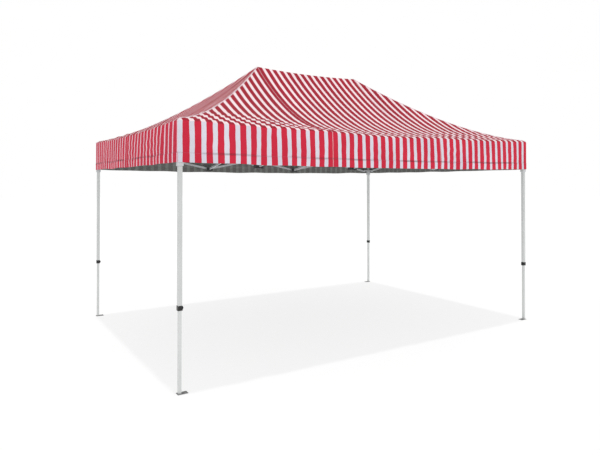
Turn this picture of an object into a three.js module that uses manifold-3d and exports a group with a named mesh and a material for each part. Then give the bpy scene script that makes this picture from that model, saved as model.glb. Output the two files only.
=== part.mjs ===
// Pop-up canopy: folding scissor frame on four telescoping legs, two masts and a hip-roof fabric cover.
// Millimetres, +Z up, origin on the ground at the centre of the footprint. Front is -Y, left is -X.
import * as THREE from 'three'
import { mergeVertices } from 'three/addons/utils/BufferGeometryUtils.js'
import Module from 'manifold-3d'

const wasm = await Module()
wasm.setup()

// Driving dimensions
const LEG_X = 2165            // half spacing of the legs along the long side
const LEG_Y = 1470            // half spacing of the legs along the short side
const POST_X = 690            // half spacing of the two cross trusses
const SPAN = 1380             // pivot to pivot width of one scissor pair, open
const REACH = { x: 95, y: 90 } // leg axis to the first bar pivot, along the long and the short sides
const CROSS_REACH = 45        // connector or hub centre to the first cross bar pivot
const Z_UPPER = 2120          // height of the upper pivots
const Z_LOWER = 1850          // height of the lower pivots
const BAR = { width: 25, thick: 12, plane: 8, hole: 4.98 }
const PIN = { r: 4, head: 7, headIn: 14.4, headOut: 16.4 }
const OUTER = { half: 16, bore: 14.4, low: 653, top: 2150 }
const INNER = { half: 12.5, bore: 11, low: 3.5, top: 1100 }
const FOOT = { back: 20, reach: 65, half: 25, thick: 4, holeAt: 48, holeR: 6 }
const LOCK = { half: 18.7, top: 691, boss: 26, bossHalf: 9, bossLow: 661, bossTop: 683, z: 672, hole: 5 }
const BUTTON = { r: 4.4, from: 17.2, to: 30.5 }
const SLIDER = { half: 22.5, bore: 16.6, up: 22, down: 24, skirt: 62, skirtBore: 19.7 }
const BRACKET = { half: 22, low: 2098 }
const CONNECTOR = {
  upperHalf: 24, lowerHalf: 40, upperDown: 15, lowerDown: 30, up: 15, inner: 31.5, face: 15.2
}
const MAST = { half: 12.5, bore: 11, top: 2990, plug: 4, plugTop: 2998, floor: 1842 }
const HUB = { halfY: 31.5, upperX: 20, lowerX: 48, lowerDown: 30, bore: 13.4, guide: 16.6, guideLow: 1868 }
const FABRIC = { x: 2190.5, y: 1496.5, ridge: 705, thick: 2, corner: 2168, post: 2142, mid: 2123, side: 2141 }
const PEAK = { mast: 3006.5, mid: 2986 }
const VALANCE = { corner: 1818, dip: 18 }

// Colours
const SILVER = 0xd3d6d8
const WHITE = 0xe9ebec
const BLACK = 0x1b1c1e
const STRIPE = 0xc02a41

const group = new THREE.Group()

function add(name, geometry, color, metal) {
  const material = new THREE.MeshStandardMaterial({ color, metalness: metal, roughness: metal ? 0.4 : 0.7 })
  const mesh = new THREE.Mesh(geometry, material)
  mesh.name = name
  group.add(mesh)
}

function toSolid(geometry) {
  const bare = new THREE.BufferGeometry()
  bare.setAttribute('position', geometry.getAttribute('position').clone())
  if (geometry.index) bare.setIndex(geometry.index.clone())
  const welded = mergeVertices(bare, 1e-4)
  const mesh = new wasm.Mesh({
    numProp: 3,
    vertProperties: new Float32Array(welded.getAttribute('position').array),
    triVerts: new Uint32Array(welded.index.array)
  })
  mesh.merge()
  return new wasm.Manifold(mesh)
}

function toGeometry(solid) {
  const mesh = solid.getMesh()
  const indexed = new THREE.BufferGeometry()
  indexed.setAttribute('position', new THREE.BufferAttribute(new Float32Array(mesh.vertProperties), 3))
  indexed.setIndex(Array.from(mesh.triVerts))
  const geometry = indexed.toNonIndexed()
  geometry.computeVertexNormals()
  return geometry
}

function join(parts, cuts = []) {
  let solid = toSolid(parts[0])
  for (const part of parts.slice(1)) solid = solid.add(toSolid(part))
  for (const cut of cuts) solid = solid.subtract(toSolid(cut))
  return toGeometry(solid)
}

function block(x0, x1, y0, y1, z0, z1) {
  const low = new THREE.Vector3(Math.min(x0, x1), Math.min(y0, y1), Math.min(z0, z1))
  const high = new THREE.Vector3(Math.max(x0, x1), Math.max(y0, y1), Math.max(z0, z1))
  const size = high.clone().sub(low)
  const centre = low.add(high).multiplyScalar(0.5)
  return new THREE.BoxGeometry(size.x, size.y, size.z).translate(centre.x, centre.y, centre.z)
}

// Square post centred on (x, y)
function post(x, y, half, z0, z1) {
  return block(x - half, x + half, y - half, y + half, z0, z1)
}

// Round rod from a to b
function rod(a, b, r, sides = 8) {
  const along = b.clone().sub(a)
  const geometry = new THREE.CylinderGeometry(r, r, along.length(), sides)
  geometry.applyQuaternion(new THREE.Quaternion().setFromUnitVectors(
    new THREE.Vector3(0, 1, 0), along.clone().normalize()))
  const centre = a.clone().add(b).multiplyScalar(0.5)
  return geometry.translate(centre.x, centre.y, centre.z)
}

// A truss line: a vertical plane through (x, y) that runs along X or along Y
function line(dir, x, y) {
  const u = dir === 'x' ? new THREE.Vector3(1, 0, 0) : new THREE.Vector3(0, 1, 0)
  const n = u.clone().cross(new THREE.Vector3(0, 0, 1))
  return { u, n, at: new THREE.Vector3(x, y, 0) }
}

// Point of a truss line: distance along it, height, distance off its plane
function spot(truss, along, z, off) {
  return truss.at.clone().addScaledVector(truss.u, along).addScaledVector(truss.n, off).setZ(z)
}

// Flat plate standing in a truss line's plane, its outline given as [along, height]
function plate(truss, shape, off, thick) {
  const geometry = new THREE.ExtrudeGeometry(shape, { depth: thick, bevelEnabled: false, curveSegments: 4 })
  const basis = new THREE.Matrix4().makeBasis(truss.u, new THREE.Vector3(0, 0, 1), truss.n)
  basis.setPosition(spot(truss, 0, 0, off - thick / 2))
  return geometry.applyMatrix4(basis)
}

function circlePath(along, z, r) {
  const path = new THREE.Path()
  for (let i = 0; i < 8; i++) {
    const a = -(i + 0.5) * Math.PI / 4
    if (i === 0) path.moveTo(along + r * Math.cos(a), z + r * Math.sin(a))
    else path.lineTo(along + r * Math.cos(a), z + r * Math.sin(a))
  }
  path.closePath()
  return path
}

// Pivot pin through the bar at off-plane side `side`, starting inside the part that carries it
function pin(truss, along, z, side) {
  return [
    rod(spot(truss, along, z, -side * 6), spot(truss, along, z, side * (PIN.headIn + 1)), PIN.r),
    rod(spot(truss, along, z, side * PIN.headIn), spot(truss, along, z, side * PIN.headOut), PIN.head)
  ]
}

// Arm from a bracket to a bar pivot. way is +1 where the bar runs towards +u, -1 where it runs towards -u.
function arm(truss, way, upper, from, reach) {
  const z = upper ? Z_UPPER : Z_LOWER
  const side = upper ? -way : way
  const r = BAR.width / 2
  const shape = new THREE.Shape()
  shape.moveTo(way * from, z - r)
  if (way > 0) {
    shape.absarc(reach, z, r, -Math.PI / 2, Math.PI / 2, false)
  } else {
    shape.absarc(-reach, z, r, -Math.PI / 2, Math.PI / 2, true)
  }
  shape.lineTo(way * from, z + r)
  shape.closePath()
  return [plate(truss, shape, -side * BAR.plane, BAR.thick), ...pin(truss, way * reach, z, side)]
}

// Scissor bar from a to b ([along, height]); rising bars lie on the +n side, falling bars on the -n side
function bar(truss, a, b, pinAt = null) {
  const rising = b[1] > a[1]
  const side = rising ? 1 : -1
  const r = BAR.width / 2
  const tilt = Math.atan2(b[1] - a[1], b[0] - a[0])
  const shape = new THREE.Shape()
  shape.absarc(a[0], a[1], r, tilt + Math.PI / 2, tilt + 1.5 * Math.PI, false)
  shape.absarc(b[0], b[1], r, tilt - Math.PI / 2, tilt + Math.PI / 2, false)
  shape.closePath()
  const middle = [(a[0] + b[0]) / 2, (a[1] + b[1]) / 2]
  for (const end of [a, b]) {
    if (end !== pinAt) shape.holes.push(circlePath(end[0], end[1], BAR.hole))
  }
  if (rising) shape.holes.push(circlePath(middle[0], middle[1], BAR.hole))
  const body = plate(truss, shape, side * BAR.plane, BAR.thick)
  const pins = []
  if (!rising) pins.push(...pin(truss, middle[0], middle[1], 1))
  if (pinAt) pins.push(...pin(truss, pinAt[0], pinAt[1], 1))
  return join([body, ...pins])
}

// One scissor pair of a truss line, starting at distance `from` along it
function scissor(truss, name, from, startPins = false, endPins = false) {
  const left = from
  const right = from + SPAN
  const rise = [[left, Z_LOWER], [right, Z_UPPER]]
  const fall = [[left, Z_UPPER], [right, Z_LOWER]]
  add(`${name}_rise`, bar(truss, rise[0], rise[1]), SILVER, 0.6)
  const pinAt = startPins ? fall[0] : endPins ? fall[1] : null
  add(`${name}_fall`, bar(truss, fall[0], fall[1], pinAt), SILVER, 0.6)
}

// Legs: outer tube with its top bracket and lock sleeve, inner tube with its foot, lock button and slider
function leg(name, sx, sy) {
  const x = sx * LEG_X
  const y = sy * LEG_Y
  const alongX = line('x', x, y)
  const alongY = line('y', x, y)
  const boss = x - sx * LOCK.boss
  const bore = rod(new THREE.Vector3(x, y, LOCK.z), new THREE.Vector3(boss - sx, y, LOCK.z), LOCK.hole)
  add(`leg_outer_${name}`, join([
    post(x, y, OUTER.half, OUTER.low, OUTER.top),
    post(x, y, LOCK.half, OUTER.low, LOCK.top),
    block(x, boss, y - LOCK.bossHalf, y + LOCK.bossHalf, LOCK.bossLow, LOCK.bossTop),
    post(x, y, BRACKET.half, BRACKET.low, OUTER.top),
    ...arm(alongX, -sx, true, OUTER.half + 2, REACH.x),
    ...arm(alongY, -sy, true, OUTER.half + 2, REACH.y)
  ], [post(x, y, OUTER.bore, OUTER.low - 1, OUTER.top - 8), bore]), SILVER, 0.6)

  const toe = x - sx * FOOT.holeAt
  add(`leg_inner_${name}`, join([
    block(x + sx * FOOT.back, x - sx * FOOT.reach, y - FOOT.half, y + FOOT.half, 0, FOOT.thick),
    post(x, y, INNER.half, INNER.low, INNER.top)
  ], [
    post(x, y, INNER.bore, FOOT.thick, INNER.top + 1),
    rod(new THREE.Vector3(toe, y, -1), new THREE.Vector3(toe, y, FOOT.thick + 1), FOOT.holeR, 12)
  ]), SILVER, 0.6)

  const near = new THREE.Vector3(x - sx * BUTTON.from, y, LOCK.z)
  const far = new THREE.Vector3(x - sx * BUTTON.to, y, LOCK.z)
  add(`lock_button_${name}`, join([rod(near, far, BUTTON.r, 12)]), BLACK, 0)

  const top = Z_LOWER + SLIDER.up
  const low = Z_LOWER - SLIDER.down
  const hem = Z_LOWER - SLIDER.skirt
  add(`slider_${name}`, join([
    post(x, y, SLIDER.half, hem, top),
    ...arm(alongX, -sx, false, SLIDER.half - 2, REACH.x),
    ...arm(alongY, -sy, false, SLIDER.half - 2, REACH.y)
  ], [
    post(x, y, SLIDER.bore, hem - 1, top + 1),
    post(x, y, SLIDER.skirtBore, hem - 1, low),
    block(x, x - sx * 30, y - SLIDER.skirtBore, y + SLIDER.skirtBore, hem - 1, low)
  ]), WHITE, 0)
}

// Three-way connector on a long side, joined to two side pairs and one cross pair
function connector(name, x, sy, upper) {
  const y = sy * LEG_Y
  const z = upper ? Z_UPPER : Z_LOWER
  const half = upper ? CONNECTOR.upperHalf : CONNECTOR.lowerHalf
  const down = upper ? CONNECTOR.upperDown : CONNECTOR.lowerDown
  const inner = y - sy * CONNECTOR.inner
  const cross = line('y', x, y)
  const at = outward => new THREE.Vector3(x, y + sy * outward, z)
  add(`connector_${upper ? 'upper' : 'lower'}_${name}`, join([
    block(x - half, x + half, y - sy * CONNECTOR.face, inner, z - down, z + CONNECTOR.up),
    rod(at(-20), at(PIN.headIn + 1), PIN.r),
    rod(at(PIN.headIn), at(PIN.headOut), PIN.head),
    ...arm(cross, -sy, upper, 29, CROSS_REACH)
  ]), BLACK, 0)
}

// Mast with the upper hub it slides in and the lower hub it stands in
function mast(name, x) {
  const cross = line('y', x, 0)
  add(`hub_upper_${name}`, join([
    block(x - HUB.upperX, x + HUB.upperX, -HUB.halfY, HUB.halfY, Z_UPPER - 16, Z_UPPER + 16),
    post(x, 0, HUB.guide, HUB.guideLow, Z_UPPER),
    ...arm(cross, 1, true, 28, CROSS_REACH),
    ...arm(cross, -1, true, 28, CROSS_REACH)
  ], [post(x, 0, HUB.bore, HUB.guideLow - 1, Z_UPPER + 20)]), BLACK, 0)
  add(`hub_lower_${name}`, join([
    block(x - HUB.lowerX, x + HUB.lowerX, -HUB.halfY, HUB.halfY, Z_LOWER - HUB.lowerDown, Z_LOWER + 16),
    ...arm(cross, 1, false, 28, CROSS_REACH),
    ...arm(cross, -1, false, 28, CROSS_REACH)
  ], [post(x, 0, MAST.half + 0.3, MAST.floor - 0.3, Z_LOWER + 30)]), BLACK, 0)
  add(`mast_${name}`, join(
    [post(x, 0, MAST.half, MAST.floor, MAST.top), post(x, 0, MAST.plug, MAST.top - 2, MAST.plugTop)],
    [post(x, 0, MAST.bore, MAST.floor - 1, MAST.top - 6)]), SILVER, 0.6)
}

// Fabric height on the outer face. s runs from 0 at the eave to 1 at the ridge.
function longZ(s, x, limit) {
  const ridge = FABRIC.ridge
  const peakMid = PEAK.mid + (PEAK.mast - PEAK.mid) * Math.min(1, (x / ridge) ** 2)
  const eave = FABRIC.mid + (FABRIC.post - FABRIC.mid) * Math.min(1, (x / ridge) ** 2)
  const seam = eave + (peakMid - eave) * s ** 1.72
  if (Math.abs(x) <= ridge || limit <= ridge) return seam
  const w = (Math.abs(x) - ridge) / (limit - ridge)
  return seam + (hipZ(s) - seam) * w - 140 * w * (1 - w) * 0.25 * (1 - s)
}

function hipZ(s) {
  return FABRIC.corner + (PEAK.mast - FABRIC.corner) * s ** 1.5
}

function sideZ(s, w) {
  const middle = FABRIC.side + (PEAK.mast - FABRIC.side) * s ** 1.6
  return middle + (hipZ(s) - middle) * w * w
}

// One closed ring of the cover at roof level s; drop > 0 moves down the valance instead
function ring(s, drop, inset) {
  const ex = FABRIC.x - inset
  const ey = FABRIC.y - inset
  const lower = inset * 1.1
  const hipX = ex - s * (ex - FABRIC.ridge)
  const hipY = ey * (1 - s)
  const points = []
  const place = (x, y, eaveZ, dip) => {
    const z = drop === 0 ? eaveZ - lower : eaveZ - lower + (VALANCE.corner - dip - eaveZ + lower) * drop
    points.push([x, y, z])
  }
  const longXs = []
  for (let i = 0; i < 4; i++) longXs.push(-hipX + (hipX - FABRIC.ridge) * i / 4)
  for (let i = 0; i < 4; i++) longXs.push(-FABRIC.ridge + 2 * FABRIC.ridge * i / 4)
  for (let i = 0; i < 4; i++) longXs.push(FABRIC.ridge + (hipX - FABRIC.ridge) * i / 4)
  for (const way of [-1, 1]) {
    for (const x of longXs) {
      const dip = VALANCE.dip * (1 - (x / ex) ** 2)
      place(-way * x, way * hipY, longZ(s, x, hipX), dip)
    }
    for (let i = 0; i < 6; i++) {
      const w = 1 - i / 3
      place(-way * hipX, way * hipY * w, sideZ(s, Math.abs(w)), VALANCE.dip * 0.3 * (1 - w * w))
    }
  }
  return points
}

function coverGeometry() {
  const rings = []
  const levels = [1, 0.9, 0.8, 0.7, 0.6, 0.5, 0.4, 0.3, 0.2, 0.1, 0]
  for (const s of levels) rings.push(ring(s, 0, 0))
  for (const drop of [0.5, 1]) rings.push(ring(0, drop, 0))
  for (const drop of [1, 0.5]) rings.push(ring(0, drop, FABRIC.thick))
  for (const s of levels.slice().reverse()) rings.push(ring(s, 0, FABRIC.thick))
  const positions = []
  const count = rings[0].length
  const face = (...corners) => {
    const keys = new Set(corners.map(p => p.map(v => v.toFixed(3)).join()))
    if (keys.size === 3) for (const p of corners) positions.push(...p)
  }
  for (let k = 0; k + 1 < rings.length; k++) {
    for (let i = 0; i < count; i++) {
      const j = (i + 1) % count
      face(rings[k][i], rings[k + 1][j], rings[k + 1][i])
      face(rings[k][i], rings[k][j], rings[k + 1][j])
    }
  }
  const geometry = new THREE.BufferGeometry()
  geometry.setAttribute('position', new THREE.Float32BufferAttribute(positions, 3))
  const solid = toSolid(geometry)
  return toGeometry(solid.volume() < 0 ? toSolid(flip(geometry)) : solid)
}

function flip(geometry) {
  const p = geometry.getAttribute('position').array.slice()
  for (let i = 0; i < p.length; i += 9) {
    for (let k = 0; k < 3; k++) [p[i + 3 + k], p[i + 6 + k]] = [p[i + 6 + k], p[i + 3 + k]]
  }
  const flipped = new THREE.BufferGeometry()
  flipped.setAttribute('position', new THREE.BufferAttribute(p, 3))
  return flipped
}

add('canopy', coverGeometry(), STRIPE, 0)

for (const [side, y] of [['front', -LEG_Y], ['rear', LEG_Y]]) {
  const truss = line('x', 0, y)
  for (const [i, from] of [-LEG_X + REACH.x, -POST_X, POST_X].entries()) {
    scissor(truss, `bar_${side}_${i + 1}`, from)
  }
}
for (const [side, x] of [['left', -LEG_X], ['right', LEG_X]]) {
  const truss = line('y', x, 0)
  scissor(truss, `bar_${side}_1`, -SPAN, false, true)
  scissor(truss, `bar_${side}_2`, 0, true, false)
}
for (const [side, x] of [['left', -POST_X], ['right', POST_X]]) {
  const truss = line('y', x, 0)
  scissor(truss, `bar_cross_${side}_1`, -LEG_Y + CROSS_REACH)
  scissor(truss, `bar_cross_${side}_2`, CROSS_REACH)
  mast(side, x)
  for (const upper of [true, false]) {
    connector(`front_${side}`, x, -1, upper)
    connector(`rear_${side}`, x, 1, upper)
  }
}
for (const [end, sy] of [['front', -1], ['rear', 1]]) {
  leg(`${end}_left`, -1, sy)
  leg(`${end}_right`, 1, sy)
}

export default group
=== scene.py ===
import math

import bpy
import numpy as np
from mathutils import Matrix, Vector


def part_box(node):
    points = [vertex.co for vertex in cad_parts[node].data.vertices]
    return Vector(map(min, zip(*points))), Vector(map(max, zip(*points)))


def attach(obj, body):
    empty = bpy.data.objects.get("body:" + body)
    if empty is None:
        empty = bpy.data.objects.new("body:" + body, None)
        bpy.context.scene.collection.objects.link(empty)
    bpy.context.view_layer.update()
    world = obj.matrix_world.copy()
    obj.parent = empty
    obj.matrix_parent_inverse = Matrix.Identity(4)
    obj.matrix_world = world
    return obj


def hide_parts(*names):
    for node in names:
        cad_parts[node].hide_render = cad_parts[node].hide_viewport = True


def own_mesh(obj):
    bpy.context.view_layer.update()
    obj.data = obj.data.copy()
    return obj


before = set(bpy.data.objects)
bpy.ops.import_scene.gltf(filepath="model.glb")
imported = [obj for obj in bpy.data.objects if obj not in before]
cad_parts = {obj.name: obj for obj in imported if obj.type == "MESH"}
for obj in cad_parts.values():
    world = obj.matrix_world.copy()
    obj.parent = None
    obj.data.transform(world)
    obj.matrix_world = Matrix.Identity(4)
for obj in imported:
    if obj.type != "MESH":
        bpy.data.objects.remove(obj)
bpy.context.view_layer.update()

# ---------------------------------------------------------------- sizes, in metres
EX, EY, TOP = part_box("canopy")[1]              # outer half sizes of the cover along X and Y, and its top
SLIDER_PROUD = 0.0225                          # from a leg's axis to the outer face of its slider
slider_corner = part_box("slider_front_left")[0]
LEG_X = -slider_corner[0] - SLIDER_PROUD       # leg axes
LEG_Y = -slider_corner[1] - SLIDER_PROUD
PIVOT_X = LEG_X - 0.095                        # first bar pivots
PIVOT_Y = LEG_Y - 0.090
RIDGE = 0.705                                  # half length of the ridge
RUN = EX - RIDGE                               # from a ridge end out to the short side

CORNER = 2.168                                 # height of the eave at the corners,
POST = 2.142                                   # at the cross trusses,
MIDDLE = 2.123                                 # halfway along the long sides
SIDE = 2.141                                   # and halfway along the short sides
PEAK_MID = TOP - 0.0205                        # the ridge sags between its ends
BORDER_FOOT = 1.818                            # lower edge of the valance at the corners

CLOTH = 0.0016                                 # thickness of the cloth
HEM = 0.078                                    # height of the valance's hem
HEM_STITCH = 0.076                             # its stitching, over the lower edge
NO_HEM = 9.0                                   # height over the hem that puts a roof panel out of its reach
BINDING_RADIUS, BINDING_SIDES = 0.0040, 8      # tape along the hips
TILE_FROM = 2.1                                # height that the cloth's own pattern is laid out from
SHORT_RED = 0.76                               # share of each stripe pitch that is red on a short side


# ---------------------------------------------------------------- material helpers
def new_material(name):
    material = bpy.data.materials.new(name)
    material.use_nodes = True
    tree = material.node_tree
    return material, tree, tree.nodes["Principled BSDF"]


def plug(tree, value, socket):
    """Link a socket's value, or set a plain one."""
    if isinstance(value, bpy.types.NodeSocket):
        tree.links.new(value, socket)
    else:
        socket.default_value = value


def add_node(tree, kind, inputs=None, **settings):
    node = tree.nodes.new(kind)
    for key, value in settings.items():
        setattr(node, key, value)
    for key, value in (inputs or {}).items():
        plug(tree, value, node.inputs[key])
    return node


def maths(tree, operation, a, b=0.0, clamp=False):
    node = add_node(tree, "ShaderNodeMath", operation=operation, use_clamp=clamp)
    plug(tree, a, node.inputs[0])
    plug(tree, b, node.inputs[1])
    return node.outputs[0]


def mix(tree, factor, a, b):
    node = add_node(tree, "ShaderNodeMix", data_type="RGBA")
    for socket, value in ((node.inputs[0], factor), (node.inputs[6], a), (node.inputs[7], b)):
        plug(tree, value, socket)
    return node.outputs[2]


def scaled(tree, value, factor, shift=0.0, clamp=False):
    return maths(tree, "ADD", maths(tree, "MULTIPLY", value, factor), shift, clamp=clamp)


def beyond(tree, value, start, steepness):
    """0 up to start, then rising to 1."""
    return maths(tree, "MULTIPLY", maths(tree, "SUBTRACT", value, start), steepness, clamp=True)


def band(tree, value, centre, half, soft):
    """1 within half of centre, falling to 0 over soft."""
    distance = maths(tree, "ABSOLUTE", maths(tree, "SUBTRACT", value, centre))
    return maths(tree, "DIVIDE", maths(tree, "SUBTRACT", half + soft, distance), soft, clamp=True)


def noise(tree, where, scale, detail):
    inputs = {"Vector": where, "Scale": scale, "Detail": detail}
    return add_node(tree, "ShaderNodeTexNoise", inputs).outputs[0]


def split(tree, vector):
    return add_node(tree, "ShaderNodeSeparateXYZ", {0: vector}).outputs


def bump(tree, shader, height, strength, distance):
    node = add_node(tree, "ShaderNodeBump", {"Height": height, "Strength": strength, "Distance": distance})
    tree.links.new(node.outputs[0], shader.inputs["Normal"])


# ---------------------------------------------------------------- cloth materials
def cloth_layout(tree):
    """Place on the cloth, and the mask of the red stripes. Both faces of the cloth share it."""
    stripe = split(tree, add_node(tree, "ShaderNodeUVMap", uv_map="stripe").outputs[0])
    where = add_node(tree, "ShaderNodeUVMap", uv_map="place").outputs[0]
    wobble = noise(tree, where, 7.0, 2.0)
    shift = maths(tree, "MULTIPLY", maths(tree, "SUBTRACT", wobble, 0.5), 0.14)
    phase = maths(tree, "FRACT", maths(tree, "ADD", stripe[0], shift))
    edge = maths(tree, "MINIMUM", phase, maths(tree, "SUBTRACT", stripe[1], phase))
    return where, scaled(tree, edge, 60.0, 0.5, clamp=True)


def stripe_colour(tree, red, cloud):
    """Red and white cloth, with painted light: the roof, the hanging border and the end faces each get their
    own copy of the colours, painted lighter and darker by which way the face looks.
    """
    lie = split(tree, add_node(tree, "ShaderNodeNewGeometry").outputs["Normal"])
    roof = beyond(tree, maths(tree, "ABSOLUTE", lie[2]), 0.25, 3.0)
    end = beyond(tree, maths(tree, "ABSOLUTE", lie[0]), 0.5, 3.0)

    def lit_by_facing(border_pair, end_pair, roof_pair):
        border, ends, top = (mix(tree, cloud, *pair) for pair in (border_pair, end_pair, roof_pair))
        return mix(tree, roof, mix(tree, end, border, ends), top)

    # painted light: each pair is the same cloth as lit on the border, on the end faces and on the roof
    whites = lit_by_facing(((0.62, 0.62, 0.71, 1), (0.82, 0.81, 0.88, 1)),
                    ((0.78, 0.56, 0.64, 1), (0.92, 0.72, 0.79, 1)),
                    ((0.95, 0.76, 0.80, 1), (1.0, 0.84, 0.87, 1)))
    reds = lit_by_facing(((0.56, 0.016, 0.044, 1), (0.70, 0.024, 0.058, 1)),
                  ((0.54, 0.014, 0.046, 1), (0.66, 0.020, 0.060, 1)),
                  ((0.34, 0.006, 0.022, 1), (0.43, 0.009, 0.032, 1)))
    return mix(tree, red, whites, reds)


def sewing(tree, where):
    """Masks of the seam line, the thread, the groove it pulls in, and the painted shade in the fold of the
    hem.
    """
    place = split(tree, where)
    gap = split(tree, add_node(tree, "ShaderNodeUVMap", uv_map="seam").outputs[0])
    seam = band(tree, gap[0], 0.0, 0.0022, 0.0012)
    stitch = band(tree, gap[0], 0.011, 0.0008, 0.0010)
    hem = band(tree, gap[1], HEM_STITCH, 0.0016, 0.0016)
    # painted shade: a soft band where the hem's fold falls
    hem_fold_shade = band(tree, gap[1], HEM_STITCH, 0.004, 0.010)

    def dashed(mask, along):
        wave = maths(tree, "SINE", maths(tree, "MULTIPLY", along, 900.0))
        return maths(tree, "MULTIPLY", mask, maths(tree, "GREATER_THAN", wave, -0.4))

    thread = maths(tree, "MAXIMUM", dashed(stitch, place[1]), dashed(hem, place[0]))
    return seam, thread, maths(tree, "MAXIMUM", stitch, hem), hem_fold_shade


def weave(tree, where):
    """Two fine crossed ribs."""
    threads = add_node(tree, "ShaderNodeVectorMath", {0: where, 1: (900, 900, 900)}, operation="MULTIPLY")
    axes = split(tree, threads.outputs[0])
    return maths(tree, "MULTIPLY", maths(tree, "SINE", axes[0]), maths(tree, "SINE", axes[1]))


def fabric_outside():
    material, tree, shader = new_material("cover_outside")
    where, red = cloth_layout(tree)
    cloud = noise(tree, where, 3.0, 4.0)
    crease = noise(tree, where, 14.0, 5.0)
    seam, thread, groove, hem_fold_shade = sewing(tree, where)

    colour = stripe_colour(tree, red, cloud)
    colour = mix(tree, maths(tree, "MULTIPLY", seam, 0.6), colour, (0.85, 0.74, 0.78, 1))
    colour = mix(tree, maths(tree, "MULTIPLY", thread, 0.35), colour, (0.40, 0.16, 0.22, 1))
    # painted shade along the hem's fold, broken up by the cloud noise
    shading = maths(tree, "MULTIPLY", hem_fold_shade, beyond(tree, cloud, 0.35, 1.6))
    tone = maths(tree, "SUBTRACT", scaled(tree, cloud, 0.16, 0.92), shading)
    grey = add_node(tree, "ShaderNodeCombineXYZ", {0: tone, 1: tone, 2: tone}).outputs[0]
    shaded = add_node(tree, "ShaderNodeVectorMath", {0: colour, 1: grey}, operation="MULTIPLY")
    tree.links.new(shaded.outputs[0], shader.inputs["Base Color"])

    relief = maths(tree, "ADD", maths(tree, "MULTIPLY", weave(tree, where), 0.02), crease)
    relief = maths(tree, "SUBTRACT", relief, maths(tree, "MULTIPLY", groove, 0.5))
    bump(tree, shader, relief, 0.35, 0.004)
    tree.links.new(scaled(tree, crease, 0.2, 0.55), shader.inputs["Roughness"])
    shader.inputs["Specular IOR Level"].default_value = 0.2
    return material


def fabric_inside():
    """Silver-grey lining, with painted light coming through the cover: darker where a red stripe backs it."""
    material, tree, shader = new_material("cover_inside")
    where, red = cloth_layout(tree)
    cloud = noise(tree, where, 5.0, 4.0)
    silver = mix(tree, cloud, (0.185, 0.20, 0.185, 1), (0.24, 0.255, 0.24, 1))
    # painted light: the lining dimmed where less light comes through a red stripe
    dim_behind_red = mix(tree, cloud, (0.135, 0.138, 0.132, 1), (0.165, 0.165, 0.16, 1))
    tree.links.new(mix(tree, red, silver, dim_behind_red), shader.inputs["Base Color"])
    shader.inputs["Metallic"].default_value = 0.15
    shader.inputs["Roughness"].default_value = 0.5
    bump(tree, shader, noise(tree, where, 20.0, 5.0), 0.4, 0.003)
    return material


# ---------------------------------------------------------------- metal and plastic materials
def coat(name, colour, darker, roughness, metallic, scale, relief):
    """Painted metal or moulded plastic: faint mottling, scuffs on edges, fine orange-peel bump.
    Also returns its tree, its place and its colour, for a material that adds to it."""
    material, tree, shader = new_material(name)
    where = add_node(tree, "ShaderNodeTexCoord").outputs["Object"]
    cloud = noise(tree, where, scale, 6.0)
    edge = add_node(tree, "ShaderNodeNewGeometry").outputs["Pointiness"]
    worn = beyond(tree, edge, 0.53, 6.0)
    scuffed = tuple(min(1.0, c * 1.25 + 0.02) for c in colour[:3]) + (1,)
    colour_out = mix(tree, maths(tree, "MULTIPLY", worn, 0.5), mix(tree, cloud, colour, darker), scuffed)
    tree.links.new(colour_out, shader.inputs["Base Color"])
    tree.links.new(scaled(tree, cloud, 0.18, roughness - 0.09), shader.inputs["Roughness"])
    bump(tree, shader, noise(tree, where, scale * 30, 2.0), relief, 0.0006)
    shader.inputs["Metallic"].default_value = metallic
    return material, tree, shader, where, colour_out


def leg_material():
    """Powder coated tube. The bracket, the lock sleeve and the foot share the leg's mesh, so they are told
    apart by where they are: bracket and sleeve stand proud of the tube, and the foot is at the floor."""
    material, tree, shader, where, colour = coat(
        "leg_coat", (0.71, 0.725, 0.72, 1), (0.61, 0.625, 0.62, 1), 0.38, 0.25, 4.0, 0.15)
    tube_half = 0.0164
    place = split(tree, where)
    off = [maths(tree, "ABSOLUTE", maths(tree, "SUBTRACT", maths(tree, "ABSOLUTE", place[i]), axis))
           for i, axis in ((0, LEG_X), (1, LEG_Y))]
    proud = maths(tree, "GREATER_THAN", maths(tree, "MAXIMUM", off[0], off[1]), tube_half)
    height = place[2]
    bracket = maths(tree, "MULTIPLY", maths(tree, "GREATER_THAN", height, 2.09), proud)
    sleeve = maths(tree, "MULTIPLY", maths(tree, "LESS_THAN", height, 1.0), proud)
    foot = maths(tree, "LESS_THAN", height, 0.0045)
    colour = mix(tree, bracket, colour, (0.50, 0.51, 0.52, 1))
    colour = mix(tree, sleeve, colour, (0.018, 0.018, 0.020, 1))
    colour = mix(tree, foot, colour, (0.27, 0.27, 0.27, 1))
    tree.links.new(colour, shader.inputs["Base Color"])
    return material


OUTSIDE = fabric_outside()
INSIDE = fabric_inside()
BINDING = coat("hip_binding", (0.90, 0.78, 0.82, 1), (0.80, 0.66, 0.71, 1), 0.7, 0.0, 20.0, 0.5)[0]
LEG = leg_material()
MAST = coat("mast_coat", (0.66, 0.68, 0.69, 1), (0.56, 0.58, 0.60, 1), 0.38, 0.25, 4.0, 0.15)[0]
BARS = coat("bar_coat", (0.62, 0.63, 0.64, 1), (0.50, 0.51, 0.53, 1), 0.36, 0.35, 5.0, 0.15)[0]
GREY = coat("grey_nylon", (0.58, 0.59, 0.60, 1), (0.50, 0.51, 0.52, 1), 0.5, 0.0, 12.0, 0.4)[0]
BLACK = coat("black_nylon", (0.016, 0.016, 0.018, 1), (0.030, 0.030, 0.032, 1), 0.42, 0.0, 14.0, 0.4)[0]


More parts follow.
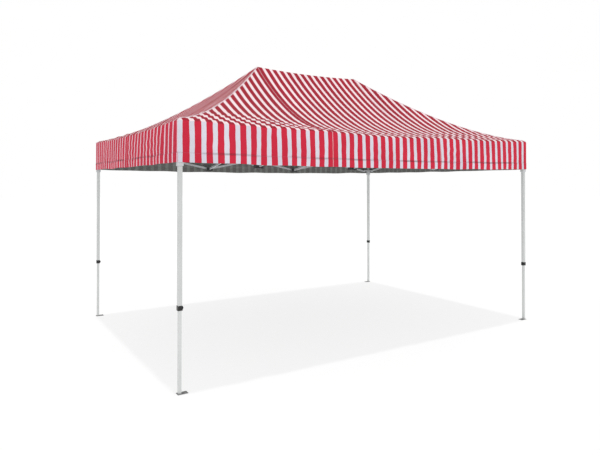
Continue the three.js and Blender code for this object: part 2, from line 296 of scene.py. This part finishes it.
# ---------------------------------------------------------------- shape of the cover
# s runs up a slope, from 0 at the eave to 1 at the ridge; all heights are those of the outer face.
def eave_drop(s):
    """The cloth rolls over the eave instead of turning sharply."""
    return 0.020 * np.clip(1 - s / 0.034, 0, 1) ** 2


def hip_z(s):
    return CORNER + (TOP - CORNER) * s ** 1.5


def long_z(s, x, hip_x):
    """Height of a long side's slope: hollow up to the ridge, and sagging from the ridge end to the hip."""
    bow = np.minimum(1.0, (x / RIDGE) ** 2)
    eave = MIDDLE + (POST - MIDDLE) * bow
    peak = PEAK_MID + (TOP - PEAK_MID) * bow
    inner = eave + (peak - eave) * s ** 1.72
    w = np.clip((np.abs(x) - RIDGE) / np.maximum(hip_x - RIDGE, 1e-6), 0, 1)
    return inner + (hip_z(s) - inner) * w - 0.035 * w * (1 - w) * (1 - s)


def side_z(s, w):
    """Height of a short side's slope; w is 0 at its middle and 1 at the hips."""
    middle = SIDE + (TOP - SIDE) * s ** 1.6
    return middle + (hip_z(s) - middle) * w * w


def hash_wave(t, seed, count, low_f, high_f):
    """Smooth seeded ripple of a position in metres, at most 1.6 either way."""
    rng = np.random.default_rng(seed)
    total = np.zeros_like(t)
    for _ in range(count):
        f = rng.uniform(low_f, high_f)
        total = total + np.sin(2 * np.pi * f * t + rng.uniform(0, 6.28)) / count
    return total * 1.6


def ripple_roof(s, u, gap, seed, folds, waves):
    """Height of the cloth's wrinkles: puckers at the eave, slack folds along it just above, and broad waves
    higher up. gap is the distance to the nearest hip, where the wrinkles fade out."""
    puckers = np.exp(-s * 9.0) * (1 + hash_wave(u, seed, 6, 2.0, 8.0))
    broad = hash_wave(u + s * 0.4, seed + 50, 4, 0.5, 1.6) * np.sin(np.pi * np.clip(s, 0, 1))
    fold = np.exp(-((s - 0.15) / 0.12) ** 2) * (1 - np.exp(-s * 30))
    fold = fold * (1 + np.sin(2 * np.pi * (s / 0.064 + 0.5 * hash_wave(u, seed + 9, 4, 0.3, 1.2))))
    fold = fold * (0.85 + 0.3 * hash_wave(u, seed + 19, 4, 0.4, 1.5))
    total = 0.0035 * puckers + waves * np.abs(broad) + folds * np.abs(fold)
    return total * np.clip(gap / 0.12, 0, 1)


def ripple_long(s, x, gap, way):
    """The front's left end and the rear's right end hang slacker than the other ends."""
    reach = np.clip((np.abs(x) - RIDGE) / 0.5, 0, 1)
    slack = np.where(way * x > 0, 0.010, 0.001)
    return ripple_roof(s, x, gap, 11 if way < 0 else 23, folds=0.003 + slack * reach, waves=0.004)


def ripple_short(s, y, gap, way):
    return ripple_roof(s, y, gap, 37 if way < 0 else 41, folds=0.006, waves=0.026)


# ---------------------------------------------------------------- stripes
def long_red(x):
    """Share of each pitch that is red on a long side."""
    return 0.60 + 0.03 * x / EX


def long_stripes(x, part):
    """Stripe coordinate and distance to the nearest panel seam, on a long side. The first share of each whole
    number is red. Each panel was cut with its own pitch and starts at its own place in it."""
    if part == 0:
        return (x + RIDGE) / (2 * RIDGE) * 14.54, np.minimum(x + RIDGE, RIDGE - x)
    if part < 0:
        return (x + EX) / RUN * 14.9 + 0.64, -RIDGE - x
    return (x - RIDGE) / RUN * 15.0 + 0.54, x - RIDGE


def short_stripes(y):
    """The same on a short side, where y is the distance from its middle seam."""
    return y / EY * 15.0, y


# ---------------------------------------------------------------- building one panel
def pairs(first, second):
    return np.stack([first, second * np.ones_like(first)], axis=2)


def turned(arrays):
    """The same grids with their columns in the other order, which turns the outward face round."""
    return [a[:, ::-1] for a in arrays]


def surface_normals(grid):
    """Normals of a grid of points; a row that has shrunk to a point takes its neighbour's."""
    normal = np.cross(np.gradient(grid, axis=1), np.gradient(grid, axis=0))
    length = np.linalg.norm(normal, axis=2, keepdims=True)
    bad = length[..., 0] < 1e-9
    normal = normal / np.maximum(length, 1e-12)
    for r in range(len(grid)):
        if bad[r].any():
            normal[r][bad[r]] = normal[r - 1 if r else r + 1][bad[r]]
    return normal


def sheet_faces(rows, cols):
    """Quads of the two faces, by turns, and of the edge, over a grid of outside points and as many inside
    ones, with the material slot of each."""
    n = rows * cols
    at = np.arange(n).reshape(rows, cols)
    cells = [(at[r, c], at[r, c + 1], at[r + 1, c + 1], at[r + 1, c])
             for r in range(rows - 1) for c in range(cols - 1)]
    both = [face for a, b, c, d in cells for face in ((a, b, c, d), (d + n, c + n, b + n, a + n))]
    rim = [*at[0], *at[1:, -1], *at[-1, -2::-1], *at[-2:0:-1, 0]]
    edge = [(b, a, a + n, b + n) for a, b in zip(rim, rim[1:] + rim[:1])]
    return both + edge, [0, 1] * len(cells) + [0] * len(edge)


def tape(path, start):
    """Closed tube along the hip; start is the number of its first point."""
    tangent = np.gradient(path, axis=0)
    tangent /= np.maximum(np.linalg.norm(tangent, axis=1, keepdims=True), 1e-9)
    side = np.cross(tangent, np.array([0, 0, 1.0]))
    side /= np.maximum(np.linalg.norm(side, axis=1, keepdims=True), 1e-9)
    up = np.cross(side, tangent)
    angles = 2 * math.pi * np.arange(BINDING_SIDES)[None, :, None] / BINDING_SIDES
    around = 1.25 * np.cos(angles) * side[:, None] + np.sin(angles) * up[:, None]
    points = (path[:, None] + BINDING_RADIUS * around).reshape(-1, 3)
    ring = start + np.arange(len(points)).reshape(-1, BINDING_SIDES)
    after = np.roll(ring, -1, axis=1)
    faces = [(ring[i, k], ring[i + 1, k], after[i + 1, k], after[i, k])
             for i in range(len(ring) - 1) for k in range(BINDING_SIDES)]
    return points, faces + [tuple(ring[0]), tuple(ring[-1][::-1])]


def sheet(name, arrays, body, hip=None):
    """One closed panel of cloth, with its tape along the hip if there is one. arrays holds grids of points,
    of stripe coordinate and red share, of place on the cloth, and of distance to seam and height over hem.
    fold is the axis, the anchor and the share of its thickness that the panel keeps when the frame folds."""
    grid, *attributes = arrays
    inner = grid - surface_normals(grid) * CLOTH
    points = np.concatenate([grid.reshape(-1, 3), inner.reshape(-1, 3)])
    attributes = [np.concatenate([a.reshape(-1, 2)] * 2) for a in attributes]
    faces, slots = sheet_faces(*grid.shape[:2])
    if hip is not None:
        tape_points, tape_faces = tape(hip, len(points))
        points = np.concatenate([points, tape_points])
        attributes = [np.concatenate([a, np.full((len(tape_points), 2), 0.75)]) for a in attributes]
        faces += tape_faces
        slots += [2] * len(tape_faces)

    mesh = bpy.data.meshes.new(name)
    mesh.from_pydata(points.tolist(), [], [tuple(map(int, face)) for face in faces])
    for material in (OUTSIDE, INSIDE, BINDING):
        mesh.materials.append(material)
    mesh.polygons.foreach_set("material_index", slots)
    corners = np.zeros(len(mesh.loops), dtype=np.int64)
    mesh.loops.foreach_get("vertex_index", corners)
    for layer_name, values in zip(("stripe", "place", "seam"), attributes):
        layer = mesh.uv_layers.new(name=layer_name)
        layer.data.foreach_set("uv", values[corners].astype(np.float32).ravel())
    mesh.polygons.foreach_set("use_smooth", [True] * len(mesh.polygons))
    mesh.validate()
    mesh.update()
    mesh.set_sharp_from_angle(angle=math.radians(50))

    obj = bpy.data.objects.new(name, mesh)
    bpy.context.scene.collection.objects.link(obj)
    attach(obj, body)
    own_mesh(obj)
    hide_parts("canopy")


# ---------------------------------------------------------------- roof
# Each sewn panel is two strips. As the frame folds, a strip hangs from the bar with its high end on that
# side of the panel.
COLS = 24
SPLIT_X = RIDGE + 0.30 * (PIVOT_X - RIDGE)     # where the two strips of a corner panel meet
SPLIT_Y = 0.42 * PIVOT_Y
eave_levels = (0.004, 0.008, 0.018, 0.023, 0.036, 0.056)
s_levels = np.append(np.linspace(0, 1, 76) ** 1.15, eave_levels)
s_long = np.sort(np.append(s_levels, [(EX - x) / RUN for x in (PIVOT_X, SPLIT_X)]))
s_short = np.sort(np.append(s_levels, [1 - y / EY for y in (PIVOT_Y, SPLIT_Y)]))


def roof_grid(levels, top):
    """Grids of s up to top, and of t from 0 to 1 across the strip."""
    s, t = np.meshgrid(levels[levels <= top + 1e-9], np.linspace(0, 1, COLS), indexing="ij")
    return s, t


def roof_long(name, side, part, lo, hi, body):
    """A strip of a long side's roof, cut off by the hip. part -1 is the left corner panel, 0 the middle one
    and +1 the right corner panel. lo and hi are x, or the distance from the centre for a corner panel."""
    way = -1.0 if side == "front" else 1.0
    top = (EX - lo) / RUN if part else 1.0
    s, t = roof_grid(s_long, top)
    hip_x = EX - s * RUN
    if part:
        x = part * (lo + (np.minimum(hip_x, hi) - lo) * (t if part > 0 else 1 - t))
    else:
        x = lo + (hi - lo) * t
    y = EY * (1 - s)
    z = long_z(s, x, hip_x)
    ripple = ripple_long(s, x, hip_x - np.abs(x), way)
    calm = np.clip((s - 0.9) * 12, 0, 1)       # no wrinkle stands above the ridge
    z = z + ripple * (1 - calm) - eave_drop(s)
    phase, seam = long_stripes(x, part)
    up = np.sqrt(y ** 2 + (z - TILE_FROM) ** 2)
    arrays = [np.stack([x, way * y, z], axis=2), pairs(phase, long_red(x)),
              pairs(x, EY + 0.4 - up), pairs(np.abs(seam), NO_HEM)]
    if way > 0:
        arrays = turned(arrays)
    hip = None
    if part:
        h = np.linspace((EX - hi) / RUN, top, 20)
        hip = np.stack([part * (EX - h * RUN), way * EY * (1 - h), hip_z(h) + 0.001 - eave_drop(h)], axis=1)
    sheet(name, arrays, body, hip)


def roof_short(name, side, end, lo, hi, body):
    """A strip of one half of a short side's triangle, from lo to hi off its middle; end is front or rear."""
    way = -1.0 if side == "left" else 1.0
    half = -1.0 if end == "front" else 1.0
    s, t = roof_grid(s_short, 1 - lo / EY)
    x = EX - s * RUN
    hip_y = EY * (1 - s)
    y = lo + (np.minimum(hip_y, hi) - lo) * t
    w = y / np.maximum(hip_y, 1e-6)
    z = side_z(s, w) + ripple_short(s, y * half, hip_y - y, way) - eave_drop(s)
    phase, seam = short_stripes(y)
    up = np.sqrt((EX - x) ** 2 + (z - TILE_FROM) ** 2)
    arrays = [np.stack([way * x, half * y, z], axis=2), pairs(phase, SHORT_RED),
              pairs(half * y, 0.4 + up), pairs(seam, NO_HEM)]
    if way * half < 0:
        arrays = turned(arrays)
    sheet(name, arrays, body)


# ---------------------------------------------------------------- valance
CORNER_KEEP, MIDDLE_KEEP, SHORT_KEEP = 0.183, 0.1416, 0.191    # a folded valance's share of its length


def valance_out(along, d, z, foot, end, long_side, way):
    """How far the hanging cloth stands out from the eave: broad and fine ripples, slack folds and the hem."""
    seed = 7 * int(way) + 3 * int(long_side)
    free = 1 - (np.abs(along) / end) ** 12
    slow = 1 - (np.abs(along) / end) ** 4
    wave = hash_wave(along + 0.05 * d, 91 + seed, 6, 0.7, 3.2)
    fine = hash_wave(along - 0.02 * d, 191 + seed, 5, 3.0, 7.0)
    out = free * (0.008 * d * (1 + wave) + 0.0026 * np.sin(np.pi * d) * (1 + fine))
    folds = 1 + np.sin(2 * np.pi * (z / 0.095 + 0.9 * hash_wave(along, 311 + int(way), 5, 0.4, 1.6)))
    slack = 0.5 + 0.5 * hash_wave(along, 401 + int(way), 5, 0.5, 2.0)
    slack = np.abs(slack * np.sin(np.pi * np.clip(d * 1.02, 0, 1)))
    out = out + slow * (0.0022 if long_side else 0.0036) * slack * folds
    if not long_side:
        out = out * (1 - 0.6 * np.clip((along + 0.4) / 1.2, 0, 1))     # calmer towards the rear
    return out + 0.0022 * np.clip((HEM - (z - foot)) * 300, 0, 1)


def valance(side, label, lo, hi, body, part=None):
    """One sewn panel of the hanging border, from lo to hi along its side. Long sides give the panel's part."""
    long_side = part is not None
    way = -1.0 if side in ("front", "left") else 1.0
    end, face = (EX, EY) if long_side else (EY, EX)
    d, t = np.meshgrid(np.linspace(0, 1, 30), np.linspace(0, 1, 150), indexing="ij")
    along = lo + (hi - lo) * t
    eave = np.zeros_like(along)
    gap = end - np.abs(along)
    if long_side:
        top = long_z(eave, along, np.full_like(along, EX)) + ripple_long(eave, along, gap, way)
        dip = 0.018 * (1 - (along / EX) ** 2)
        stripe, seam = long_stripes(along, part)
        red = long_red(along)
    else:
        top = side_z(eave, np.abs(along) / EY) + ripple_short(eave, along, gap, way)
        dip = 0.0054 * (1 - (along / EY) ** 2)
        stripe, seam = short_stripes(np.abs(along))
        red = SHORT_RED
    top = top - eave_drop(eave)
    foot = BORDER_FOOT - dip + 0.003 * hash_wave(along, 71 + int(way) + int(long_side), 4, 0.8, 2.5)
    z = top + (foot - top) * d
    proud = way * (face + valance_out(along, d, z, foot, end, long_side, way))
    grid = np.stack([along, proud, z] if long_side else [proud, along, z], axis=2)
    arrays = [grid, pairs(stripe, red), pairs(along, z), pairs(np.abs(seam), z - foot)]
    if (way < 0) == long_side:                 # rows run down, so these sides need their columns turned
        arrays = turned(arrays)
    sheet(f"valance_{side}_{label}", arrays, body)


# ---------------------------------------------------------------- the whole cover
for side in ("front", "rear"):
    for label, part, lo, hi, body, fold_at, keep in (
            ("left", -1, -EX, -RIDGE, f"leg_outer_{side}_left", -EX, CORNER_KEEP),
            ("middle", 0, -RIDGE, RIDGE, f"connector_upper_{side}_left", -RIDGE, MIDDLE_KEEP),
            ("right", 1, RIDGE, EX, f"leg_outer_{side}_right", EX, CORNER_KEEP)):
        valance(side, label, lo, hi, body, part)
    for label, part, lo, hi, bar, lean in (
            ("left_outer", -1, SPLIT_X, PIVOT_X, 1, "fall"), ("left_inner", -1, RIDGE, SPLIT_X, 1, "rise"),
            ("middle_left", 0, -RIDGE, 0.0, 2, "fall"), ("middle_right", 0, 0.0, RIDGE, 2, "rise"),
            ("right_inner", 1, RIDGE, SPLIT_X, 3, "fall"), ("right_outer", 1, SPLIT_X, PIVOT_X, 3, "rise")):
        roof_long(f"roof_{side}_{label}", side, part, lo, hi, f"bar_{side}_{bar}_{lean}")
    for label, part in (("left", -1), ("right", 1)):
        roof_long(f"patch_{side}_{label}", side, part, PIVOT_X, EX, f"leg_outer_{side}_{label}")

for side in ("left", "right"):
    for end, lo, hi, fold_at, bar, outer, inner in (("front", -EY, 0.0, -EY, 1, "fall", "rise"),
                                                    ("rear", 0.0, EY, EY, 2, "rise", "fall")):
        leg = f"leg_outer_{end}_{side}"
        valance(side, end, lo, hi, leg)
        for label, near, far, lean in (("outer", SPLIT_Y, PIVOT_Y, outer), ("inner", 0.0, SPLIT_Y, inner)):
            name = f"roof_{side}_{end}_{label}"
            roof_short(name, side, end, near, far, f"bar_{side}_{bar}_{lean}")
        roof_short(f"patch_{side}_{end}", side, end, PIVOT_Y, EY, leg)


# ---------------------------------------------------------------- CAD nodes: finish and edges
FINISH = {"bar": BARS, "leg": LEG, "mast": MAST, "slider": GREY}

for name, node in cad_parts.items():
    kind = name.split("_")[0]
    if kind == "canopy":
        continue
    node.data.materials.clear()
    node.data.materials.append(FINISH.get(kind, BLACK))
    bevel = node.modifiers.new("edge", "BEVEL")
    bevel.width = 0.0012 if kind in ("bar", "leg", "mast") else 0.0018
    bevel.segments = 2
    bevel.limit_method = "ANGLE"
    bevel.angle_limit = math.radians(50)


# ---------------------------------------------------------------- floor, light, camera
scene = bpy.context.scene


def floor(half=60):
    """Pale floor, 1 mm under the feet. It gives off light, so it shows white and keeps the soft shadow."""
    mesh = bpy.data.meshes.new("floor")
    corners = [(-half, -half, -0.001), (half, -half, -0.001), (half, half, -0.001), (-half, half, -0.001)]
    mesh.from_pydata(corners, [], [(0, 1, 2, 3)])
    obj = bpy.data.objects.new("floor", mesh)
    scene.collection.objects.link(obj)
    material, _, shader = new_material("pale_floor")
    for key, value in (("Base Color", (0.30, 0.30, 0.30, 1)), ("Roughness", 0.9), ("Specular IOR Level", 0.0),
                       ("Emission Color", (1, 1, 1, 1)), ("Emission Strength", 0.76)):
        shader.inputs[key].default_value = value
    mesh.materials.append(material)


def soft_white_sky():
    """White where the camera sees it, dimmer as a light."""
    world = bpy.data.worlds.new("soft_white")
    scene.world = world
    world.use_nodes = True
    tree = world.node_tree
    background = tree.nodes["Background"]
    background.inputs[0].default_value = (1, 1, 1, 1)
    seen = add_node(tree, "ShaderNodeLightPath").outputs["Is Camera Ray"]
    tree.links.new(scaled(tree, seen, 0.38, 0.62), background.inputs[1])


def sun(name, direction, strength, angle):
    light = bpy.data.lights.new(name, "SUN")
    light.energy = strength
    light.angle = math.radians(angle)
    obj = bpy.data.objects.new(name, light)
    obj.rotation_euler = Vector(direction).to_track_quat("-Z", "Y").to_euler()
    scene.collection.objects.link(obj)


def photo_camera():
    """Camera fitted to the photograph's angle: heading is from +Y towards +X, pitch is upwards."""
    heading, pitch = 0.5651, 0.01
    data = bpy.data.cameras.new("camera")
    data.lens = 32.33
    data.sensor_width = 36
    data.shift_x = -0.0016
    data.shift_y = -0.0795
    camera = bpy.data.objects.new("camera", data)
    camera.location = (-3.631, -5.562, 1.656)
    level = math.cos(pitch)
    aim = Vector((math.sin(heading) * level, math.cos(heading) * level, math.sin(pitch)))
    camera.rotation_euler = aim.to_track_quat("-Z", "Y").to_euler()
    scene.collection.objects.link(camera)
    scene.camera = camera


floor()
soft_white_sky()
sun("overhead", (0.0, 0.0, -1.0), 0.9, 2)
sun("front_fill", (0.45, 0.85, -0.15), 0.55, 30)
photo_camera()
scene.view_settings.view_transform = "Standard"
